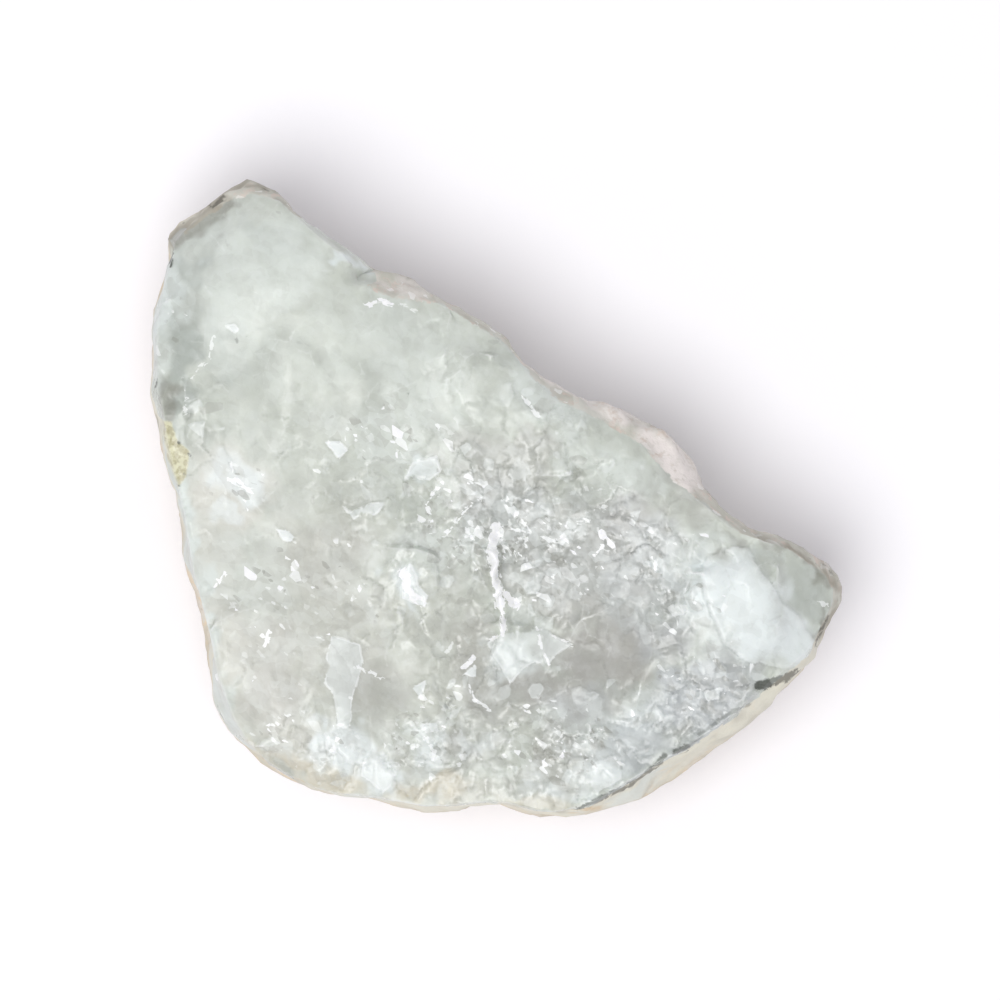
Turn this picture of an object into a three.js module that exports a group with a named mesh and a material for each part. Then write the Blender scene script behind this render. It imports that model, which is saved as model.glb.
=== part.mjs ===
// A broken piece of a quartz geode, lying on its rounded back with the fresh break facing up.
//
// The piece is one natural solid. Its round side and its back are the outer skin of the nodule:
// lumpy, with one worn flat that it rests on. Its upper side is a break through coarse milky
// quartz: small flat facets, with plates and flakes, sharp ledges, ridges and pits. The long
// straight side is an older break, steep and coarse, with a few lumps of skin at its top.
//
// Millimetres, +Z up. X runs along the long side, and the origin is under the middle, at the base.
//
// The surface is spread out flat, like a map with the break in its middle: points are scattered
// on the map, each gets its place in space, and the triangles between them come from the hull of
// the same points wrapped onto a ball, which always closes.

import * as THREE from "three";
import { ConvexHull } from "three/addons/math/ConvexHull.js";
import { ImprovedNoise } from "three/addons/math/ImprovedNoise.js";

// ---- Driving dimensions ----

const FACE_HEIGHT = 31; // the break's mean height above the surface that the piece lies on
const WIDEST_HEIGHT = 19; // where the round side stands furthest out
const BENCH = { slope: 1.15, drop: 0.8 }; // the strip of skin below the break's straight edge
const BASE = { x: 2, y: 4, halfLength: 21, halfWidth: 13 }; // the worn flat underneath

// The piece's outline seen from above, anticlockwise.
const OUTLINE = [
  [44.5, 0], [46.8, 8], [48.5, 16], [49, 19], [48.2, 22.5], [48.1, 26], [47.6, 28.3],
  [44.8, 30.3], [39, 29.7], [31.5, 28], [26, 28], [24, 30], [19.5, 31.5], [16.5, 31.5],
  [14, 30.5], [11, 31], [8, 30], [4.5, 29.5], [-2.5, 28.5], [-4, 29.5], [-8, 30], [-15.5, 29],
  [-20.5, 29], [-23.5, 28], [-30, 27.5], [-35, 27.5], [-40.5, 28.5], [-44, 27.5], [-45, 25],
  [-46.8, 20], [-48.3, 17.5], [-48.2, 15.3], [-46.5, 14], [-43.5, 7], [-39, 0], [-33, -6.5],
  [-26.5, -12], [-21.6, -17], [-17, -20.6],
  [-14.5, -23], [-12, -26], [-6.5, -30.3], [0.5, -31.5], [7, -30.5], [14, -27.5],
  [20.5, -24.5], [27, -18.5], [32.5, -17], [37, -13], [41, -8],
];

// The edge of the break seen from above, anticlockwise. Skin shows between it and the outline.
const RIM = [
  [42, 1.5], [44, 6.5], [45.5, 13], [47.5, 19.5], [47, 24], [46.5, 27], [44, 28.5], [38, 28.5],
  [31.5, 26.5], [25.5, 27], [21, 27], [15.5, 28.5], [9.5, 28], [4, 27], [-0.5, 27.5],
  [-3.5, 28.5], [-6.5, 29], [-15, 28.5], [-17, 27.5], [-20.5, 25.5], [-24.5, 24.5],
  [-27.5, 26.5], [-31, 26.5], [-36, 27], [-39, 27.5], [-42.5, 26], [-44, 24], [-45.5, 20],
  [-46.5, 16], [-45.5, 14], [-43, 7.5], [-38, 0.5], [-32, -5.5], [-26, -11], [-20.5, -16.5],
  [-14, -22], [-11, -25], [-5, -29], [0.5, -30.5], [8, -29.5], [13.5, -26.5], [20, -23.5],
  [26.5, -18], [32.5, -15.5], [36, -12], [39, -5.5],
];
const CORNER_ROUNDNESS = 0.15; // of both lines: 0 is straight between the corners
const LEAST_SKIN = 0.5; // the edge of the break is at least this far inside the outline

// Broad swells and hollows of the break: centre, half-size along X and Y, and rise.
const SWELLS = [
  { x: 14, y: 3, length: 17, width: 11, rise: -3.2 }, // the hollow right of the middle
  { x: -26, y: 17, length: 16, width: 11, rise: 2.2 }, // the smooth pale shoulder
  { x: 37, y: 18, length: 10, width: 10, rise: 1.8 }, // the white swell near the right tip
  { x: -8, y: -15, length: 13, width: 10, rise: 1.0 }, // the round end's swell
  { x: -48, y: 12, length: 7, width: 18, rise: -6.0 }, // the left edge falls away
  { x: -46, y: 31, length: 10, width: 9, rise: -5.5 }, // and so does the left tip
  { x: 50, y: 27, length: 9, width: 10, rise: -7.0 }, // the right tip falls away
  { x: 2, y: 31, length: 34, width: 5, rise: -2.6 }, // the straight side's edge falls away
  { x: 8, y: -33, length: 26, width: 5, rise: -2.2 }, // the round side's edge falls away
];
const WAVES = { wavelength: 17, rise: 1.5 }; // the break's slow unevenness

// Plates on the break, each one flat flake that comes out of the break on one side and ends in a
// ledge on the other: centre, half-size, turn in degrees, rise, and slope along X and along Y.
const PLATES = [
  { x: -33, y: 16, length: 8, width: 7, turn: 50, rise: 0.3, slope: [0.16, -0.02] },
  { x: -17, y: 20, length: 8.5, width: 5.5, turn: 8, rise: 0.6, slope: [-0.02, 0.16] },
  { x: -24, y: 9.5, length: 7, width: 4.5, turn: -50, rise: 0.2, slope: [-0.02, 0.16] },
  { x: -3, y: 22, length: 6.5, width: 3.6, turn: -15, rise: 0.3, slope: [-0.16, -0.08] },
  { x: 2, y: -1.5, length: 4.2, width: 3.2, turn: -30, rise: 0.7, slope: [-0.16, 0.16] },
  { x: 2, y: -17.5, length: 7, width: 2.4, turn: -55, rise: 0.8, slope: [0.12, -0.16] },
  { x: -9, y: -18, length: 5.5, width: 4, turn: 25, rise: 0.3, slope: [-0.16, 0.1] },
  { x: 18.5, y: -1, length: 4.6, width: 3.4, turn: 30, rise: 0.9, slope: [-0.16, -0.1] },
  { x: 24, y: 17.5, length: 6, width: 4, turn: 10, rise: 0.2, slope: [0.16, -0.1] },
  { x: 38, y: 19, length: 6.5, width: 5.5, turn: 35, rise: 0.6, slope: [-0.14, 0.06] },
  { x: 37, y: 5.5, length: 6, width: 4, turn: 60, rise: 0.1, slope: [0.18, -0.06] },
  { x: 16, y: -17, length: 5.5, width: 3.6, turn: 40, rise: 0.3, slope: [0.18, -0.08] },
  { x: -28.5, y: -0.5, length: 5.5, width: 3.2, turn: -45, rise: 0.2, slope: [-0.16, -0.06] },
];
const FLAKES = { tries: 700, size: [1.0, 3.6], narrow: [0.35, 0.85], rise: [-0.1, 0.4], slope: 0.24 };
const LEDGE = { run: 0.28, edge: 2.4, ragged: 0.3, flatness: 0.07 }; // round plates and flakes

// Pits where a cluster of grains fell out: centre, radius and depth.
const PITS = [
  { x: -4, y: 8, radius: 3.0, deep: 2.0 },
  { x: 26, y: 5, radius: 3.6, deep: 1.6 },
  { x: -10, y: 1, radius: 2.4, deep: 1.4 },
  { x: 12.5, y: 20.5, radius: 3.0, deep: 1.3 },
  { x: 7, y: -13.5, radius: 3.0, deep: 1.5 },
  { x: 27, y: -8.5, radius: 2.6, deep: 1.2 },
];

// Sharp ridges along the break: the rise of the crest, and its line seen from above.
const RIDGES = [
  { rise: 2.3, line: [[5.5, 10.5], [8.5, 7], [12, 2.8], [15.5, 0.5]] },
  { rise: 1.0, line: [[-43.5, 17], [-39, 13], [-36.5, 8.5], [-35, 2.5], [-31.5, -3.5]] },
  { rise: 1.1, line: [[-26.5, 21.5], [-27, 14], [-21.5, 4], [-18, -2]] },
  { rise: 1.2, line: [[27, 24], [30.5, 17], [31, 9.5], [34.5, 0]] },
];
const CREST_SPACING = 1.5;

// The facets of the break and of the older break: the spacing of their corners, and how far the
// corners stand in or out, as a part of that spacing.
const BREAK_FACETS = { fine: 0.72, coarse: 2.1, uneven: 0.15 };
const WALL_FACETS = { fine: 1.7, coarse: 3.9, uneven: 0.36 };
const FACET_CLUSTERS = 9; // facets of like size come in clusters about this wide
const SMOOTH_PLACE = { x: -28, y: 15, length: 24, width: 16 }; // the break's facets grow here

// The skin: its lumps, its round knobs, and the spacing of its points.
const LUMPS = [
  { wavelength: 21, rise: 4.2 },
  { wavelength: 9, rise: 2.2 },
];
const KNOBS = { size: 7, rise: 1.3 };
const SKIN_SPACING = 2.35;
const WALL_HOLLOWS = { wavelength: 15, deep: 4.2 }; // these only go in, never past the outline

const RING_SPACING = { rim: 1.9, widest: 1.7, base: 4.0 }; // points along the three rings
const TRIES = { face: 26000, side: 18000 }; // random places tried
const BALL_SIZE = 45; // the radius on the map that lands on the ball's equator
const SEED = 52;

// ---- Small tools ----

const { lerp, clamp, smoothstep, degToRad } = THREE.MathUtils;

let seed = SEED;
function random() {
  seed = (Math.imul(seed, 1664525) + 1013904223) >>> 0;
  return seed / 4294967296;
}
const between = (least, most) => lerp(least, most, random());
const eitherWay = (most) => between(-most, most);

const perlin = new ImprovedNoise();
const noise = (x, y, z, wavelength) => perlin.noise(x / wavelength, y / wavelength, z / wavelength);

// How much of a round swell a place has: 1 at its middle, fading to 0.
const swelling = (x, y, { x: atX, y: atY, length, width }) =>
  Math.exp(-(((x - atX) / length) ** 2) - ((y - atY) / width) ** 2);

// The distance from the middle to a closed line at a bearing, the line given by its corners.
function radiusReader(corners) {
  const byBearing = new THREE.CatmullRomCurve3(
    corners.map(([x, y]) => new THREE.Vector3(x, y, 0)), true, "catmullrom", CORNER_ROUNDNESS)
    .getPoints(720)
    .map((p) => ({ bearing: Math.atan2(p.y, p.x), radius: Math.hypot(p.x, p.y) }))
    .sort((a, b) => a.bearing - b.bearing);
  const first = byBearing[0];
  const last = byBearing[byBearing.length - 1];
  byBearing.push({ ...first, bearing: first.bearing + 2 * Math.PI });
  byBearing.unshift({ ...last, bearing: last.bearing - 2 * Math.PI });
  return (bearing) => {
    const next = byBearing.findIndex((entry) => entry.bearing > bearing);
    const [a, b] = [byBearing[next - 1], byBearing[next]];
    return lerp(a.radius, b.radius, (bearing - a.bearing) / Math.max(b.bearing - a.bearing, 1e-9));
  };
}

const outlineRadius = radiusReader(OUTLINE);
const drawnRimRadius = radiusReader(RIM);
const rimRadius = (bearing) =>
  Math.min(drawnRimRadius(bearing), outlineRadius(bearing) - LEAST_SKIN);

// How much a side is the old break and not the skin: 1 along +Y, 0 round the back.
const straightness = (bearing) => smoothstep(Math.sin(bearing), 0.3, 0.6);

// ---- The smooth surface ----

const along = (bearing, radius) =>
  new THREE.Vector2(Math.cos(bearing), Math.sin(bearing)).multiplyScalar(radius);

// The break's height without its plates, ridges and grains.
function faceHeight(x, y) {
  let z = FACE_HEIGHT + WAVES.rise * noise(x, y, 3, WAVES.wavelength);
  for (const swell of SWELLS) z += swell.rise * swelling(x, y, swell);
  for (const { radius, deep, ...pit } of PITS)
    z -= deep * swelling(x, y, { ...pit, length: radius, width: radius });
  return z;
}

// The side at a bearing: from the rim out to the widest line, then in under to the base's edge.
function sideAt(bearing) {
  const rim = along(bearing, rimRadius(bearing));
  const widest = along(bearing, outlineRadius(bearing));
  const base = along(bearing, 1);
  base.set(BASE.x + BASE.halfLength * base.x, BASE.y + BASE.halfWidth * base.y);
  const rimHeight = faceHeight(rim.x, rim.y);
  const benchHeight = rimHeight - BENCH.drop - BENCH.slope * rim.distanceTo(widest);
  const widestHeight = lerp(
    WIDEST_HEIGHT + 3.5 * noise(widest.x, widest.y, 7, 22), benchHeight, straightness(bearing));
  const upper = Math.hypot(rim.distanceTo(widest), rimHeight - widestHeight);
  const lower = 1.1 * Math.hypot(widest.distanceTo(base), widestHeight);
  return { rim, widest, base, rimHeight, widestHeight, upper, lower };
}

// The side's point at a distance down it from the rim, without its lumps.
function sidePoint(bearing, distance) {
  const side = sideAt(bearing);
  if (distance < side.upper) {
    const t = distance / side.upper;
    const { x, y } = side.rim.clone().lerp(side.widest, Math.sin((t * Math.PI) / 2));
    return new THREE.Vector3(x, y, lerp(side.rimHeight, side.widestHeight, t));
  }
  const t = clamp((distance - side.upper) / side.lower, 0, 1);
  const { x, y } = side.base.clone().lerp(side.widest, Math.cos((t * Math.PI) / 2) ** 0.85);
  return new THREE.Vector3(x, y, side.widestHeight * (1 - Math.sin((t * Math.PI) / 2) ** 1.2));
}

// How far the lumps and knobs of the skin, or the hollows of the older break, stand out.
function lumpRise(p, bearing) {
  let skin = 0;
  LUMPS.forEach(({ wavelength, rise }, n) => {
    skin += rise * noise(p.x, p.y, p.z + 40 * (n + 1), wavelength);
  });
  skin += KNOBS.rise * (1 - 3 * Math.abs(noise(p.x, p.y, p.z - 30, KNOBS.size)));
  const wall = -WALL_HOLLOWS.deep * clamp(0.3 + noise(p.x, p.z, 9, WALL_HOLLOWS.wavelength), 0, 1);
  return lerp(skin, wall, straightness(bearing));
}

// A place on the map is what it is seen from above, if it is on the break. The side is spread
// out round the break, so that it keeps its proportions: this is its distance down from the rim.
const distanceDown = (place, rim) => rim * Math.log(place.length() / rim);
const placeOnSide = (bearing, distance) => {
  const rim = rimRadius(bearing);
  return along(bearing, rim * Math.exp(distance / rim));
};

function surfaceAt(place) {
  const bearing = Math.atan2(place.y, place.x);
  const distance = distanceDown(place, rimRadius(bearing));
  if (!(distance > 0)) return new THREE.Vector3(place.x, place.y, faceHeight(place.x, place.y));
  const p = sidePoint(bearing, distance);
  const fromWidest = Math.abs(distance - sideAt(bearing).upper);
  const strength = smoothstep(distance, 0, 7) * smoothstep(p.z, 0, 5) * smoothstep(fromWidest, -4, 6);
  const out = new THREE.Vector3(p.x - BASE.x, p.y - BASE.y, 0.6 * (p.z - 20)).normalize();
  return keepInside(p.addScaledVector(out, lumpRise(p, bearing) * strength));
}

// Moves a point that stands out past the outline back in to it, and one below the base up.
function keepInside(p) {
  const pull = Math.min(1, outlineRadius(Math.atan2(p.y, p.x)) / Math.hypot(p.x, p.y));
  return p.set(p.x * pull, p.y * pull, Math.max(p.z, 0));
}

function outwardAt(place) {
  const here = surfaceAt(place);
  const step = 0.004 * Math.max(place.length(), 20);
  const alongX = surfaceAt(place.clone().add({ x: step, y: 0 })).sub(here);
  const alongY = surfaceAt(place.clone().add({ x: 0, y: step })).sub(here);
  return alongX.cross(alongY).normalize();
}

// ---- Points scattered over the map ----

const seeds = [];

function addSeed(place, spacing, point = surfaceAt(place)) {
  seeds.push({ place, spacing, point });
}

function trySeed(place, spacing, point) {
  const free = seeds.every((s) => s.point.distanceTo(point) > (s.spacing + spacing) / 2);
  if (free) addSeed(place, spacing, point);
}

// A closed ring of points, evenly spaced, each place given by its bearing.
function addRing(spacing, placeAt, lift = () => 0) {
  let last = surfaceAt(placeAt(-Math.PI));
  const first = last.clone();
  for (let bearing = -Math.PI; bearing < Math.PI; bearing += 0.004) {
    const point = surfaceAt(placeAt(bearing));
    if (point.distanceTo(last) < spacing) continue;
    last = point.clone();
    if (point.distanceTo(first) < 0.6 * spacing && bearing > 0) continue;
    addSeed(placeAt(bearing), 0.75 * spacing, point.setZ(point.z + lift()));
  }
}

addRing(RING_SPACING.rim, (bearing) => along(bearing, rimRadius(bearing)), () => eitherWay(0.25));
addRing(RING_SPACING.widest, (bearing) => placeOnSide(bearing, sideAt(bearing).upper));
addRing(RING_SPACING.base, (bearing) => {
  const { upper, lower } = sideAt(bearing);
  return placeOnSide(bearing, upper + lower);
});

for (const { rise, line } of RIDGES) {
  const crest = new THREE.CatmullRomCurve3(line.map(([x, y]) => new THREE.Vector3(x, y, 0)));
  const count = Math.round(crest.getLength() / CREST_SPACING);
  crest.getSpacedPoints(count).forEach(({ x, y }, n) => {
    const place = new THREE.Vector2(x + eitherWay(0.35), y + eitherWay(0.35));
    const point = surfaceAt(place);
    point.z += rise * Math.sin(((n + 0.5) / (count + 1)) * Math.PI) ** 0.5 + eitherWay(0.3);
    addSeed(place, CREST_SPACING, point);
  });
}

// A plate or flake is a flat, ragged slab: corners on its top and at the foot of its ledge.
const slabs = [];

function slabOutline({ x, y, length, width, turn }) {
  const corners = [];
  for (let angle = eitherWay(0.5); angle < 2 * Math.PI - 0.4; angle += between(0.7, 1.35)) {
    const ragged = 1 + eitherWay(LEDGE.ragged);
    corners.push(new THREE.Vector2(length * Math.cos(angle), width * Math.sin(angle))
      .multiplyScalar(ragged).rotateAround(new THREE.Vector2(), degToRad(turn)).add({ x, y }));
  }
  const outline = [];
  corners.forEach((corner, n) => {
    const next = corners[(n + 1) % corners.length];
    const parts = Math.max(1, Math.round(corner.distanceTo(next) / LEDGE.edge));
    for (let part = 0; part < parts; part++) {
      const sideways = part ? eitherWay(LEDGE.ragged) : 0;
      outline.push(corner.clone().lerp(next, part / parts).add({ x: sideways, y: -sideways }));
    }
  });
  return outline;
}

function slabTop({ x, y, rise, slope: [alongX, alongY] }, place) {
  const plane = faceHeight(x, y) + rise + alongX * (place.x - x) + alongY * (place.y - y);
  return Math.max(plane, faceHeight(place.x, place.y) + 0.05);
}

const insideOutline = (outline, { x, y }) => outline.reduce((inside, a, n) => {
  const b = outline[(n + 1) % outline.length];
  const crosses = a.y > y !== b.y > y && x < a.x + ((b.x - a.x) * (y - a.y)) / (b.y - a.y);
  return crosses ? !inside : inside;
}, false);

function trySlab(slab) {
  const outline = slabOutline(slab);
  const middle = new THREE.Vector2(slab.x, slab.y);
  const reach = Math.max(...outline.map((corner) => corner.distanceTo(middle)));
  for (const corner of outline) {
    const bearing = Math.atan2(corner.y, corner.x);
    if (corner.length() > rimRadius(bearing) - 1) return;
    const foot = corner.clone().lerp(middle, -LEDGE.run / reach);
    const crowded = slabs.some((other) => insideOutline(other.outline, foot))
      || seeds.some((seed) => seed.place.distanceTo(corner) < 0.55);
    if (crowded) return;
  }
  for (const corner of outline) {
    const top = slabTop(slab, corner) + eitherWay(LEDGE.flatness);
    addSeed(corner, 0.9, new THREE.Vector3(corner.x, corner.y, top));
    const foot = corner.clone().add(corner.clone().sub(middle).setLength(LEDGE.run));
    addSeed(foot, 0.9, surfaceAt(foot));
  }
  slabs.push({ ...slab, outline });
}

PLATES.forEach(trySlab);
for (let n = 0; n < FLAKES.tries; n++) {
  const length = between(...FLAKES.size) * between(0.6, 1);
  trySlab({
    x: eitherWay(47), y: eitherWay(31), length, width: length * between(...FLAKES.narrow),
    turn: eitherWay(90), rise: between(...FLAKES.rise),
    slope: [eitherWay(FLAKES.slope), eitherWay(FLAKES.slope)] });
}

// How far apart facet corners are at a place: like sizes come in clusters.
function facetSpacing({ fine, coarse }, place, smooth) {
  const cluster = 0.5 + 1.3 * noise(place.x, place.y, 21, FACET_CLUSTERS);
  return lerp(fine, coarse, clamp(Math.max(cluster * 0.7, smooth), 0, 1)) * between(0.8, 1.25);
}

for (let n = 0; n < TRIES.face; n++) {
  const place = new THREE.Vector2(eitherWay(49), eitherWay(33));
  if (place.length() > rimRadius(Math.atan2(place.y, place.x)) - 0.6) continue;
  const slab = slabs.find(({ outline }) => insideOutline(outline, place));
  const point = surfaceAt(place);
  if (slab) {
    point.z = slabTop(slab, place) + eitherWay(LEDGE.flatness);
    trySeed(place, BREAK_FACETS.coarse, point);
  } else {
    const spacing = facetSpacing(BREAK_FACETS, place, swelling(place.x, place.y, SMOOTH_PLACE));
    point.z += eitherWay(BREAK_FACETS.uneven * spacing);
    trySeed(place, spacing, point);
  }
}

for (let n = 0; n < TRIES.side; n++) {
  const bearing = eitherWay(Math.PI);
  const { upper, lower } = sideAt(bearing);
  const distance = between(0.8, upper + lower - 1);
  const place = placeOnSide(bearing, distance);
  if (straightness(bearing) > between(0.3, 0.7) && distance < upper + 0.75 * lower) {
    const spacing = facetSpacing(WALL_FACETS, place, 0);
    const uneven = WALL_FACETS.uneven * spacing * smoothstep(distance, 0, 4);
    const out = outwardAt(place).multiplyScalar(eitherWay(uneven));
    trySeed(place, spacing, keepInside(surfaceAt(place).add(out)));
  } else trySeed(place, SKIN_SPACING, surfaceAt(place));
}

// ---- The piece: the scattered points, joined by the hull of the same points on a ball ----

// The ball's point for a place on the map: the break is round its top.
function onBall({ x, y }) {
  const [u, v] = [x / BALL_SIZE, y / BALL_SIZE];
  const r = u * u + v * v;
  return new THREE.Vector3(2 * u, 2 * v, 1 - r).divideScalar(1 + r);
}

function pieceGeometry() {
  const baseMiddle = new THREE.Vector3(BASE.x, BASE.y, 0);
  const onBallPoints = [...seeds.map(({ place }) => onBall(place)), new THREE.Vector3(0, 0, -1)];
  const indexOf = new Map(onBallPoints.map((point, index) => [point, index]));
  const triangles = new ConvexHull().setFromPoints(onBallPoints).faces.map(({ edge }) =>
    [edge, edge.next, edge.next.next].map((side) => indexOf.get(side.head().point)));
  const geometry = new THREE.BufferGeometry();
  geometry.setFromPoints([...seeds.map(({ point }) => point), baseMiddle]);
  geometry.setIndex(triangles.flat());
  geometry.computeBoundingBox();
  const { min, max } = geometry.boundingBox;
  geometry.translate(-(min.x + max.x) / 2, -(min.y + max.y) / 2, -min.z);
  geometry.computeVertexNormals();
  return geometry;
}

const milkyQuartz = new THREE.MeshStandardMaterial({
  name: "milky_quartz", color: 0xd2d5cd, roughness: 0.35, metalness: 0, flatShading: true });
const piece = new THREE.Mesh(pieceGeometry(), milkyQuartz);
piece.name = "quartz_geode_piece";

const group = new THREE.Group();
group.name = "quartz_geode";
group.add(piece);

export default group;
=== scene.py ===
import bisect
import math
import random

import bmesh
import bpy
from mathutils import Matrix, Vector, kdtree, noise


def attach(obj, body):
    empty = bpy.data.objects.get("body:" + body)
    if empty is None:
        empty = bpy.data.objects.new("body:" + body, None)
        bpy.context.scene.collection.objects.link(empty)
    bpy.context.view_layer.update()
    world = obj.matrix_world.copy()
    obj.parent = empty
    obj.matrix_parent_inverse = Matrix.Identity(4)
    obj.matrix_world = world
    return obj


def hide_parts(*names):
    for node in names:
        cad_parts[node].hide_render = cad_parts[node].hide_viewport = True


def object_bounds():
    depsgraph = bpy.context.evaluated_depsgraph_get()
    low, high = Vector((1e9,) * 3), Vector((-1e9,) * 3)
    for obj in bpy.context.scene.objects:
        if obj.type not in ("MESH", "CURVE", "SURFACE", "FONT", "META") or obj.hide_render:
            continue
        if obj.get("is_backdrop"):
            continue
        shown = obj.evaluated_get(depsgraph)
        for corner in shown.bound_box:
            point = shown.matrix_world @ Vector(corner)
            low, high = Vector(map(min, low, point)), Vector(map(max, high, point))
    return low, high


# A broken piece of a quartz geode on a white table, seen from above. Sizes on the stone are in
# millimetres, in the stone's own frame. A mark on the break is placed by where it is seen:
# across and down from the view's top left corner, in thousandths of the view's width, with its
# turn in degrees. Colours are written as they look.

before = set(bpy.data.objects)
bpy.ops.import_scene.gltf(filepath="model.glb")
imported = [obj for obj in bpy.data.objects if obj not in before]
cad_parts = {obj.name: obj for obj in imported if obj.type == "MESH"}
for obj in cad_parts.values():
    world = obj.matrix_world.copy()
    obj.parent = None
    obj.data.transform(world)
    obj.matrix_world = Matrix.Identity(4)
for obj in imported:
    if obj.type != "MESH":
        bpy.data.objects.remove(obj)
solid_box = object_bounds()

MM = 0.001
STONE = "quartz_geode_piece"
TINY = 1e-9  # keeps a division away from zero

# ---- The view and the light ----

VIEW_MIDDLE = (4.88, 12.77, 25.0)  # the point under the middle of the view
VIEW_TURN = 35.2  # degrees that the camera is turned round the line of sight
VIEW_WIDTH = 125.0
VIEW_STEPS = 1000  # a mark's place counts these across the view, and down it
VIEW_STEP = VIEW_WIDTH / VIEW_STEPS
CAMERA_HEIGHT = 1150.0
SENSOR_WIDTH = 36.0
CLIP = (0.05, 20)  # metres

KEY_PLACE = (-20.0, -235.0, 1000.0)
KEY_AIM = (0.0, 0.0, 20.0)
KEY_SIZE = 600.0
KEY_POWER = 6.0  # watts
SKY = 0.58  # how bright it is
SKY_COLOUR = (250, 249, 255)
TABLE_COLOUR = (253, 252, 254)
TABLE_HALF = 4.0  # metres

# ---- The stone's shape ----

# The edge of the fresh break seen from above, anticlockwise. Skin shows outside it.
RIM = [
    (42, 1.5), (44, 6.5), (45.5, 13), (47.5, 19.5), (47, 24), (46.5, 27), (44, 28.5), (38, 28.5),
    (31.5, 26.5), (25.5, 27), (21, 27), (15.5, 28.5), (9.5, 28), (4, 27), (-0.5, 27.5),
    (-3.5, 28.5), (-6.5, 29), (-15, 28.5), (-17, 27.5), (-20.5, 25.5), (-24.5, 24.5),
    (-27.5, 26.5), (-31, 26.5), (-36, 27), (-39, 27.5), (-42.5, 26), (-44, 24), (-45.5, 20),
    (-46.5, 16), (-45.5, 14), (-43, 7.5), (-38, 0.5), (-32, -5.5), (-26, -11), (-20.5, -16.5),
    (-14, -22), (-11, -25), (-5, -29), (0.5, -30.5), (8, -29.5), (13.5, -26.5), (20, -23.5),
    (26.5, -18), (32.5, -15.5), (36, -12), (39, -5.5),
]
RIM_PIECES = 8  # how many places of each of its lines are read
RIM_SECTOR = math.radians(6)  # its height is read in sectors this wide
RIM_BAND = 0.8  # its corner is this broad, and so high
RIM_NEAR = 1.5 * RIM_BAND  # the solid's corners this close to it tell its height
BREAK_LOWEST = 20.5  # nothing of the fresh break lies lower than this
STEEP = (0.6, 0.2)  # the upright part of the normal where a steep side begins, and is full
OLD_BREAK = (0.3, 0.6)  # the sine of the bearing where the older break begins, and is full
BREAK_END = 0.3  # the fresh break's relief ends this far past the rim

WELD = 0.002  # corners of the solid this close are one
SIDE_EDGE = 1.0  # the longest edge of the mesh on the sides
GRAIN_EDGE = 0.9  # on the break while the solid's hard facets are softened
CHIP_EDGE = 0.46  # on the finished break
MARK_EDGE = 0.26  # and beside its sharp lines
MARK_BAND = 0.35  # how far beside them
SPLITS = 6  # rounds of splitting at most
SOFTENING = 2  # rounds everywhere on the break
CALM_SOFTENING = 14  # and more where it is this calm
CALM_FROM = 0.4

PLATES = [(12.0, 3.0, 0.16), (4.6, 2.6, 0.04)]  # tilted plates: wavelength, how many, rise
RISER = 0.2  # the share of a plate's width that climbs to the next
FACETS = [(3.8, 0.13), (1.6, 0.07)]  # flat tilted facets: size and steepest slope
FACET_BEND = 0.12  # how much their outlines bend, as a share of their size
LEAN_SPREAD = 23.0  # sets the leans of neighbouring facets far apart in the noise
CALM_SHARE = 0.9  # how much of the relief fades where the break is calm
RELIEF_START = (0.1, 1.4)  # how far inside the rim the relief begins, and is full
WALL_CHIPS = [(5.5, 0.55), (2.2, 0.3)]  # wavelength and rise on the older break
WALL_LACUNARITY = 1.5
SKIN_LUMPS = [(5.0, 0.4), (2.0, 0.2)]  # and on the skin
SKIN_START = (0.2, 2.0)  # how far past the rim the lumps begin, and are full
FOOT_START = (0.05, 1.5)  # and how far above the table

# Zones of small broken grains: how wide they are, how far a grain is shifted, how fine the
# shifts are, how much the sparkling nests add, and where the zones begin and are full.
CRUSHED = {"wavelength": 7.0, "uneven": 0.018, "spread": 61.0, "sparkling": 0.35,
           "start": (0.15, 0.5)}

# Small flat flakes strewn over the break; sizes in millimetres, the slope as a tangent. The
# skew makes small flakes more common than large ones.
STREWN = {"count": 420, "half_length": (0.4, 1.5), "skew": 1.4, "narrow": (0.35, 0.9),
          "corners": (3, 6), "uneven": 0.3, "rise": (0.02, 0.14), "slope": 0.2,
          "tone": (-0.35, 0.5), "inside_rim": 1.2, "avoids_calm": 1.3, "seed": 11}
FLAKE_CLIFF = (-0.1, 0.12)  # where a flake's rise starts and ends, from its outline

# ---- Marks ----

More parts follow.
